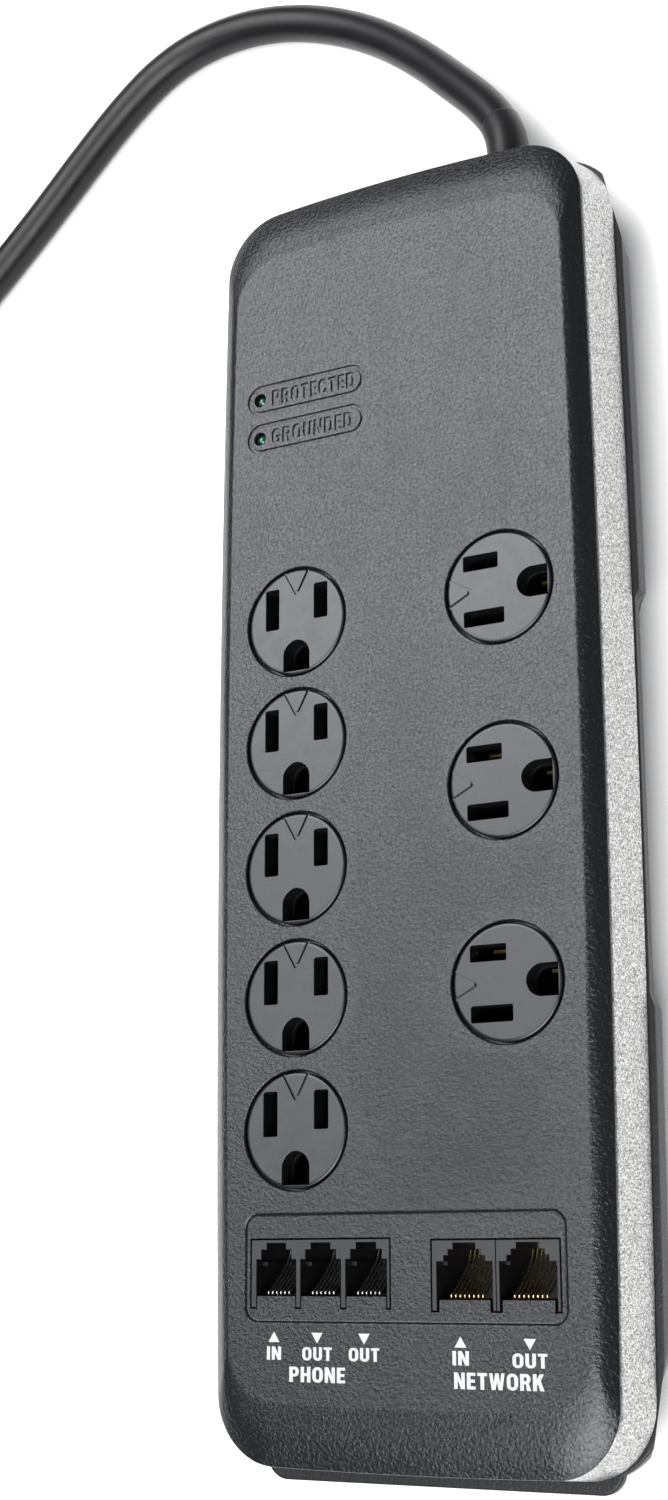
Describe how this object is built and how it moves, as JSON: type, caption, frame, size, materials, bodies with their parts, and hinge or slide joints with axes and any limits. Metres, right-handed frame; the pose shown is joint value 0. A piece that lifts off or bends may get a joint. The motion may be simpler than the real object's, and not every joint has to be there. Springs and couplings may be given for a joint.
{
  "type": "surge protector strip",
  "caption": "Surge protector strip: grounded outlets behind twist safety discs, phone and network jacks, indicator lights, end rocker switch and a coiled mains cord with plug.",
  "frame": {"origin": "centre of the casing's footprint, on the surface under the rubber feet", "axes": "+Z out of the outlet face, +Y towards the cord end, +X towards the column of three wide-spaced outlets"},
  "size_m": [0.3357, 0.3876, 0.032],
  "materials": {
    "cover_plastic": "fine moulded grain, satin",
    "rim_silver": "fine metallic silver paint, satin",
    "base_plastic": "matte",
    "disc_plastic": "smooth satin",
    "insulator": "matte",
    "bus_brass": "stamped",
    "circuit_board": "solder mask",
    "varistor_coating": "dipped epoxy",
    "fuse_case": "bare",
    "choke_copper": "enamelled copper",
    "jack_plastic": "satin",
    "gold_contact": "gold plated",
    "led_green": "tinted clear",
    "rocker_plastic": "gloss",
    "rubber_black": "matte",
    "cord_jacket": "satin",
    "nickel_plate": "nickel plated",
    "screw_steel": "zinc plated"
  },
  "bodies": {
    "casing": {"top_cover": "cover_plastic", "side_rim": "rim_silver", "base_tray": "base_plastic", "socket_block_1": "insulator", "socket_block_2": "insulator", "socket_block_3": "insulator", "socket_block_4": "insulator", "socket_block_5": "insulator", "socket_block_6": "insulator", "socket_block_7": "insulator", "socket_block_8": "insulator", "left_line_bar": "bus_brass", "left_neutral_bar": "bus_brass", "left_ground_bar": "bus_brass", "right_line_bar": "bus_brass", "right_neutral_bar": "bus_brass", "right_ground_bar": "bus_brass", "main_board": "circuit_board", "data_board": "circuit_board", "varistor_1": "varistor_coating", "varistor_2": "varistor_coating", "varistor_3": "varistor_coating", "thermal_fuse": "fuse_case", "filter_choke": "choke_copper", "phone_jack_block": "jack_plastic", "network_jack_block": "jack_plastic", "phone_contacts_1": "gold_contact", "phone_contacts_2": "gold_contact", "phone_contacts_3": "gold_contact", "network_contacts_1": "gold_contact", "network_contacts_2": "gold_contact", "led_protected": "led_green", "led_grounded": "led_green", "switch_body": "rocker_plastic", "case_screw_1": "screw_steel", "case_screw_2": "screw_steel", "case_screw_3": "screw_steel", "case_screw_4": "screw_steel", "rubber_foot_1": "rubber_black", "rubber_foot_2": "rubber_black", "rubber_foot_3": "rubber_black", "rubber_foot_4": "rubber_black", "strain_relief": "cord_jacket", "cord_run": "cord_jacket", "cord_coil": "cord_jacket", "cord_lead": "cord_jacket", "cord_tie": "rubber_black", "plug_body": "cord_jacket", "plug_blade_line": "nickel_plate", "plug_blade_neutral": "nickel_plate", "plug_ground_pin": "nickel_plate"},
    "disc_1": {"safety_disc_1": "disc_plastic"},
    "disc_2": {"safety_disc_2": "disc_plastic"},
    "disc_3": {"safety_disc_3": "disc_plastic"},
    "disc_4": {"safety_disc_4": "disc_plastic"},
    "disc_5": {"safety_disc_5": "disc_plastic"},
    "disc_6": {"safety_disc_6": "disc_plastic"},
    "disc_7": {"safety_disc_7": "disc_plastic"},
    "disc_8": {"safety_disc_8": "disc_plastic"},
    "rocker": {"switch_rocker": "rocker_plastic"}
  },
  "joints": [
    {"name": "disc_1_turn", "type": "hinge", "parent": "casing", "child": "disc_1", "pos_m": [-0.0254, 0.0392, 0.03], "axis": [0, 0, 1], "range_deg": [0, 90]},
    {"name": "disc_2_turn", "type": "hinge", "parent": "casing", "child": "disc_2", "pos_m": [-0.0254, 0.01063, 0.03], "axis": [0, 0, 1], "range_deg": [0, 90]},
    {"name": "disc_3_turn", "type": "hinge", "parent": "casing", "child": "disc_3", "pos_m": [-0.0254, -0.01795, 0.03], "axis": [0, 0, 1], "range_deg": [0, 90]},
    {"name": "disc_4_turn", "type": "hinge", "parent": "casing", "child": "disc_4", "pos_m": [-0.0254, -0.04652, 0.03], "axis": [0, 0, 1], "range_deg": [0, 90]},
    {"name": "disc_5_turn", "type": "hinge", "parent": "casing", "child": "disc_5", "pos_m": [-0.0254, -0.0751, 0.03], "axis": [0, 0, 1], "range_deg": [0, 90]},
    {"name": "disc_6_turn", "type": "hinge", "parent": "casing", "child": "disc_6", "pos_m": [0.0254, 0.0392, 0.03], "axis": [0, 0, 1], "range_deg": [0, 90]},
    {"name": "disc_7_turn", "type": "hinge", "parent": "casing", "child": "disc_7", "pos_m": [0.0254, -0.00366, 0.03], "axis": [0, 0, 1], "range_deg": [0, 90]},
    {"name": "disc_8_turn", "type": "hinge", "parent": "casing", "child": "disc_8", "pos_m": [0.0254, -0.04652, 0.03], "axis": [0, 0, 1], "range_deg": [0, 90]},
    {"name": "rocker_press", "type": "hinge", "parent": "casing", "child": "rocker", "pos_m": [-0.018, 0.144, 0.0122], "axis": [0, 0, 1], "range_deg": [-22, 0]}
  ]
}
